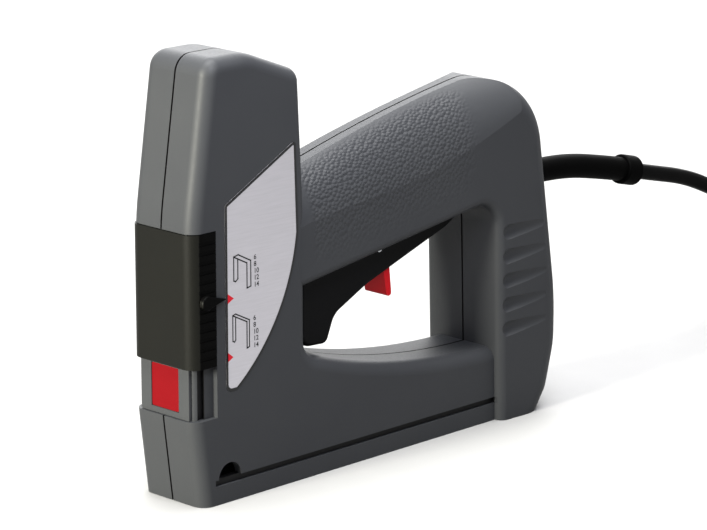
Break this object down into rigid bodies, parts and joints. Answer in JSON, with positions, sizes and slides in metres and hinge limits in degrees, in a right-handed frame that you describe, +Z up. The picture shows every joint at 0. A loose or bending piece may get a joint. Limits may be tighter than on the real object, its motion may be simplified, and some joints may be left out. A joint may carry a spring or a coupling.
{
  "type": "electric staple gun",
  "caption": "Corded electric staple gun with a tall head, rear D-handle, long trigger with a safety tab, sliding depth selector and bottom-loading staple drawer.",
  "frame": {"origin": "centre of the tool's base, on the flat underside of the nose, arm and heel; the mains lead isn't counted", "axes": "+X to the rear where the lead leaves, -Y the side with the label, +Z up from the base"},
  "size_m": [0.5077, 0.0536, 0.164],
  "materials": {
    "shell": "fine matte, pebbled grip",
    "panel": "matte",
    "selector": "satin, ribbed",
    "red": "satin",
    "black_plastic": "satin",
    "label": "satin silver",
    "steel": "bright",
    "dark_steel": "phosphated",
    "copper": "enamelled wire",
    "bobbin": "matte",
    "board": "lacquered",
    "components": "satin",
    "rubber": "matte",
    "cord": "satin",
    "pins": "nickel plated"
  },
  "bodies": {
    "housing": {"left_shell": "shell", "right_shell": "shell", "shell_screws": "dark_steel", "side_label": "label", "front_panel": "panel", "indicator_plate": "red", "trigger_pin": "steel", "microswitch": "black_plastic", "circuit_board": "board", "board_components": "components", "solenoid_yoke": "dark_steel", "coil_bobbin": "bobbin", "coil_winding": "copper", "top_bumper": "rubber", "lower_bumper": "rubber", "front_guide": "steel", "guide_block": "dark_steel", "magazine_channel": "steel", "cord_clamp": "black_plastic", "clamp_screws": "dark_steel", "strain_relief": "rubber", "cord_lead": "cord", "cord_hank": "cord", "cord_tie": "black_plastic", "plug_body": "rubber", "plug_pins": "pins", "trigger_spring": "steel", "return_spring": "steel"},
    "trigger": {"trigger": "black_plastic", "safety_pin": "steel", "safety_spring": "steel"},
    "safety_catch": {"safety_catch": "red"},
    "selector": {"selector_slider": "selector", "selector_pointer": "selector"},
    "striker": {"plunger": "steel", "blade_carrier": "dark_steel", "carrier_pin": "steel", "driver_blade": "steel", "blade_rivets": "steel"},
    "drawer": {"magazine_drawer": "steel", "drawer_cap": "black_plastic", "pusher_rod": "steel", "staple_stick": "steel", "pusher_spring": "steel", "latch_spring": "steel"},
    "pusher": {"pusher": "dark_steel"},
    "latch": {"magazine_latch": "black_plastic"},
    "switch_button": {"switch_button": "bobbin"}
  },
  "joints": [
    {"name": "trigger_hinge", "type": "hinge", "parent": "housing", "child": "trigger", "pos_m": [0.0505, 0, 0.0945], "axis": [0, 1, 0], "range_deg": [0, 4], "stiffness_Nm_per_rad": 2, "springref_deg": -2.86, "deforming": ["trigger_spring"]},
    {"name": "safety_hinge", "type": "hinge", "parent": "trigger", "child": "safety_catch", "pos_m": [0.0065, 0, 0.078], "axis": [0, -1, 0], "range_deg": [0, 20], "stiffness_Nm_per_rad": 0.02, "springref_deg": -17.19},
    {"name": "selector_slide", "type": "slide", "parent": "housing", "child": "selector", "axis": [0, 0, 1], "range_m": [-0.0192, 0]},
    {"name": "striker_slide", "type": "slide", "parent": "housing", "child": "striker", "axis": [0, 0, 1], "range_m": [-0.0155, 0], "stiffness_N_per_m": 300, "springref_m": 0.012, "deforming": ["return_spring"]},
    {"name": "drawer_slide", "type": "slide", "parent": "housing", "child": "drawer", "axis": [1, 0, 0], "range_m": [0, 0.105]},
    {"name": "pusher_slide", "type": "slide", "parent": "drawer", "child": "pusher", "axis": [1, 0, 0], "range_m": [0, 0.06], "stiffness_N_per_m": 60, "springref_m": -0.05, "deforming": ["pusher_spring"]},
    {"name": "latch_slide", "type": "slide", "parent": "drawer", "child": "latch", "axis": [0, 0, 1], "range_m": [-0.002, 0], "stiffness_N_per_m": 400, "springref_m": 0.003, "deforming": ["latch_spring"]},
    {"name": "switch_slide", "type": "slide", "parent": "housing", "child": "switch_button", "axis": [0, 0, 1], "range_m": [0, 0.004]}
  ],
  "couplings": [
    {"joint": "switch_slide", "follows": "trigger_hinge", "m_per_rad": 0.055}
  ]
}
